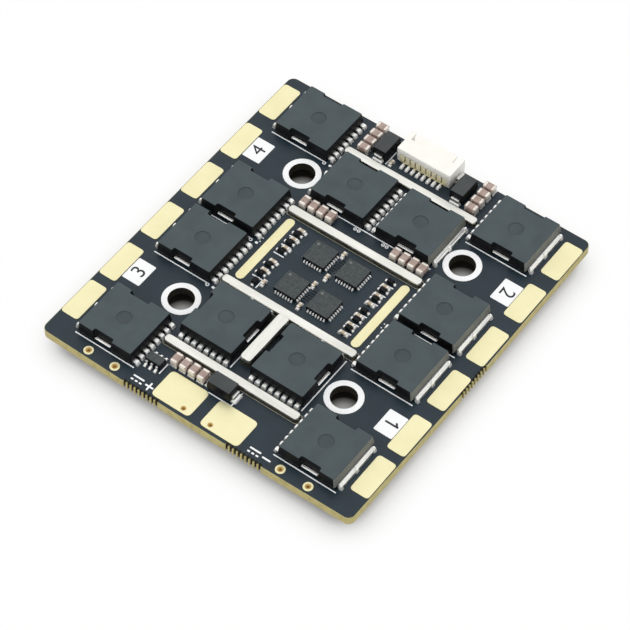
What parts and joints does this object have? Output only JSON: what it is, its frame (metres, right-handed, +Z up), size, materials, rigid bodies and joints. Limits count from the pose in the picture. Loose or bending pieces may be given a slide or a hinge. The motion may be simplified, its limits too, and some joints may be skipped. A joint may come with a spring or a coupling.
{
  "type": "electronic speed controller",
  "caption": "Flat square power board carrying moulded power transistors, bus bars, capacitors and a rear signal socket, which drives brushless drone motors from a battery.",
  "frame": {"origin": "middle of the board's outline, on the plane that the lower transistors rest on", "axes": "+Z up out of the face with the socket, +Y from the battery pads to the signal socket, +X to the right seen from above"},
  "size_m": [0.0576, 0.0628, 0.0071],
  "materials": {
    "board_mask": "satin black solder mask over glass-epoxy laminate",
    "transistor_mould": "grey moulded epoxy, satin top and darker sides",
    "chip_mould": "dark moulded epoxy",
    "diode_mould": "dark moulded epoxy",
    "tinned_bar": "bright tinned copper",
    "tinned_tab": "bright tinned brass",
    "capacitor_ceramic": "pinkish brown ceramic with tinned ends",
    "socket_nylon": "ivory white nylon",
    "contact_brass": "tinned phosphor bronze",
    "shunt_alloy": "grey resistance alloy"
  },
  "bodies": {
    "root": {"bus_bar_front": "tinned_bar", "bus_bar_lower": "tinned_bar", "bus_bar_rear": "tinned_bar", "bus_bar_stem": "tinned_bar", "bus_bar_upper": "tinned_bar", "capacitor_bank_front": "capacitor_ceramic", "capacitor_bank_middle_left": "capacitor_ceramic", "capacitor_bank_middle_right": "capacitor_ceramic", "capacitor_bank_rear_left": "capacitor_ceramic", "capacitor_bank_rear_right": "capacitor_ceramic", "circuit_board": "board_mask", "clamp_diode_front": "diode_mould", "clamp_diode_left": "diode_mould", "clamp_diode_right": "diode_mould", "current_sense_amplifier": "chip_mould", "current_shunt": "shunt_alloy", "gate_driver_1": "chip_mould", "gate_driver_2": "chip_mould", "gate_driver_3": "chip_mould", "gate_driver_4": "chip_mould", "mosfet_high_m1_a": "transistor_mould", "mosfet_high_m1_b": "transistor_mould", "mosfet_high_m1_c": "transistor_mould", "mosfet_high_m2_a": "transistor_mould", "mosfet_high_m2_b": "transistor_mould", "mosfet_high_m2_c": "transistor_mould", "mosfet_high_m3_a": "transistor_mould", "mosfet_high_m3_b": "transistor_mould", "mosfet_high_m3_c": "transistor_mould", "mosfet_high_m4_a": "transistor_mould", "mosfet_high_m4_b": "transistor_mould", "mosfet_high_m4_c": "transistor_mould", "mosfet_low_m1_a": "transistor_mould", "mosfet_low_m1_b": "transistor_mould", "mosfet_low_m1_c": "transistor_mould", "mosfet_low_m2_a": "transistor_mould", "mosfet_low_m2_b": "transistor_mould", "mosfet_low_m2_c": "transistor_mould", "mosfet_low_m3_a": "transistor_mould", "mosfet_low_m3_b": "transistor_mould", "mosfet_low_m3_c": "transistor_mould", "mosfet_low_m4_a": "transistor_mould", "mosfet_low_m4_b": "transistor_mould", "mosfet_low_m4_c": "transistor_mould", "motor_controller_1": "chip_mould", "motor_controller_2": "chip_mould", "motor_controller_3": "chip_mould", "motor_controller_4": "chip_mould", "signal_contact_1": "contact_brass", "signal_contact_2": "contact_brass", "signal_contact_3": "contact_brass", "signal_contact_4": "contact_brass", "signal_contact_5": "contact_brass", "signal_contact_6": "contact_brass", "signal_contact_7": "contact_brass", "signal_contact_8": "contact_brass", "signal_socket_housing": "socket_nylon", "signal_socket_tab_left": "tinned_tab", "signal_socket_tab_right": "tinned_tab", "step_down_regulator": "chip_mould"}
  },
  "joints": []
}
